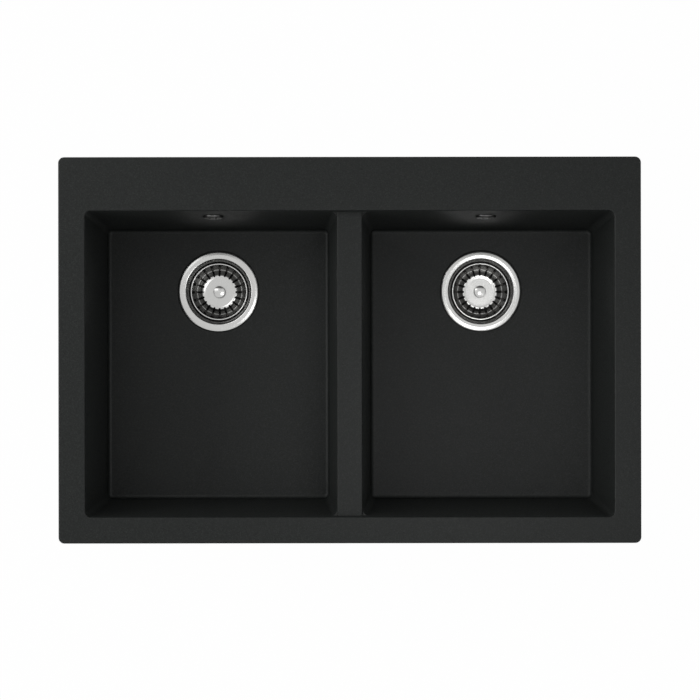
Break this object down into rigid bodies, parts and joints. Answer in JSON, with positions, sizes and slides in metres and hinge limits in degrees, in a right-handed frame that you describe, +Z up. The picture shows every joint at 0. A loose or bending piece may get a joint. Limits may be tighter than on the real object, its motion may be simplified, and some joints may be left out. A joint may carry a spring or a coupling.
{
  "type": "double bowl kitchen sink",
  "caption": "Black stone-composite inset kitchen sink with two deep bowls, a low divider, a tap ledge, lift-out strainer baskets and overflows.",
  "frame": {"origin": "centre of the rim's rectangular outline, at the height of the worktop that the rim lies on", "axes": "+X to the right along the sink's width, +Y to the tap ledge at the back, +Z up"},
  "size_m": [0.78, 0.5172, 0.2956],
  "materials": {
    "granite": "fine matt stone composite",
    "steel": "polished stainless steel",
    "zinc": "zinc-plated steel",
    "rubber": "matt",
    "black_plastic": "moulded",
    "grey_plastic": "moulded"
  },
  "bodies": {
    "root": {"sink_body": "granite", "left_strainer_cup": "steel", "left_flange_seal": "rubber", "left_clamp_screw": "steel", "left_waste_seal": "rubber", "left_waste_body": "black_plastic", "left_waste_outlet": "black_plastic", "left_overflow_cover": "steel", "left_overflow_screw": "steel", "left_overflow_seal": "rubber", "left_overflow_elbow": "black_plastic", "left_overflow_hose": "grey_plastic", "right_strainer_cup": "steel", "right_flange_seal": "rubber", "right_clamp_screw": "steel", "right_waste_seal": "rubber", "right_waste_body": "black_plastic", "right_waste_outlet": "black_plastic", "right_overflow_cover": "steel", "right_overflow_screw": "steel", "right_overflow_seal": "rubber", "right_overflow_elbow": "black_plastic", "right_overflow_hose": "grey_plastic", "clip_screw_front_left": "zinc", "clip_screw_front_right": "zinc", "clip_screw_rear_left": "zinc", "clip_screw_rear_right": "zinc", "clip_screw_left_front": "zinc", "clip_screw_left_rear": "zinc", "clip_screw_right_front": "zinc", "clip_screw_right_rear": "zinc"},
    "left_stem": {"left_basket_stem": "steel", "left_basket_stopper": "rubber"},
    "left_basket": {"left_basket": "steel", "left_basket_knob": "steel"},
    "right_stem": {"right_basket_stem": "steel", "right_basket_stopper": "rubber"},
    "right_basket": {"right_basket": "steel", "right_basket_knob": "steel"},
    "clip_front_left": {"clip_front_left": "zinc"},
    "clip_front_right": {"clip_front_right": "zinc"},
    "clip_rear_left": {"clip_rear_left": "zinc"},
    "clip_rear_right": {"clip_rear_right": "zinc"},
    "clip_left_front": {"clip_left_front": "zinc"},
    "clip_left_rear": {"clip_left_rear": "zinc"},
    "clip_right_front": {"clip_right_front": "zinc"},
    "clip_right_rear": {"clip_right_rear": "zinc"}
  },
  "joints": [
    {"name": "left_basket_lift", "type": "slide", "parent": "root", "child": "left_stem", "axis": [0, 0, 1], "range_m": [0, 0.27]},
    {"name": "left_basket_turn", "type": "hinge", "parent": "left_stem", "child": "left_basket", "pos_m": [-0.18515, 0.0844, -0.227], "axis": [0, 0, 1], "continuous": true},
    {"name": "right_basket_lift", "type": "slide", "parent": "root", "child": "right_stem", "axis": [0, 0, 1], "range_m": [0, 0.27]},
    {"name": "right_basket_turn", "type": "hinge", "parent": "right_stem", "child": "right_basket", "pos_m": [0.18515, 0.0844, -0.227], "axis": [0, 0, 1], "continuous": true},
    {"name": "clip_front_left_swing", "type": "hinge", "parent": "root", "child": "clip_front_left", "pos_m": [-0.18515, -0.2401, -0.0351], "axis": [0, 0, 1], "range_deg": [-90, 0]},
    {"name": "clip_front_right_swing", "type": "hinge", "parent": "root", "child": "clip_front_right", "pos_m": [0.18515, -0.2401, -0.0351], "axis": [0, 0, 1], "range_deg": [0, 90]},
    {"name": "clip_rear_left_swing", "type": "hinge", "parent": "root", "child": "clip_rear_left", "pos_m": [-0.262, 0.2401, -0.0351], "axis": [0, 0, 1], "range_deg": [0, 90]},
    {"name": "clip_rear_right_swing", "type": "hinge", "parent": "root", "child": "clip_rear_right", "pos_m": [0.262, 0.2401, -0.0351], "axis": [0, 0, 1], "range_deg": [-90, 0]},
    {"name": "clip_left_front_swing", "type": "hinge", "parent": "root", "child": "clip_left_front", "pos_m": [-0.3715, -0.15, -0.0351], "axis": [0, 0, 1], "range_deg": [0, 90]},
    {"name": "clip_left_rear_swing", "type": "hinge", "parent": "root", "child": "clip_left_rear", "pos_m": [-0.3715, 0.115, -0.0351], "axis": [0, 0, 1], "range_deg": [-90, 0]},
    {"name": "clip_right_front_swing", "type": "hinge", "parent": "root", "child": "clip_right_front", "pos_m": [0.3715, -0.15, -0.0351], "axis": [0, 0, 1], "range_deg": [-90, 0]},
    {"name": "clip_right_rear_swing", "type": "hinge", "parent": "root", "child": "clip_right_rear", "pos_m": [0.3715, 0.115, -0.0351], "axis": [0, 0, 1], "range_deg": [0, 90]}
  ]
}
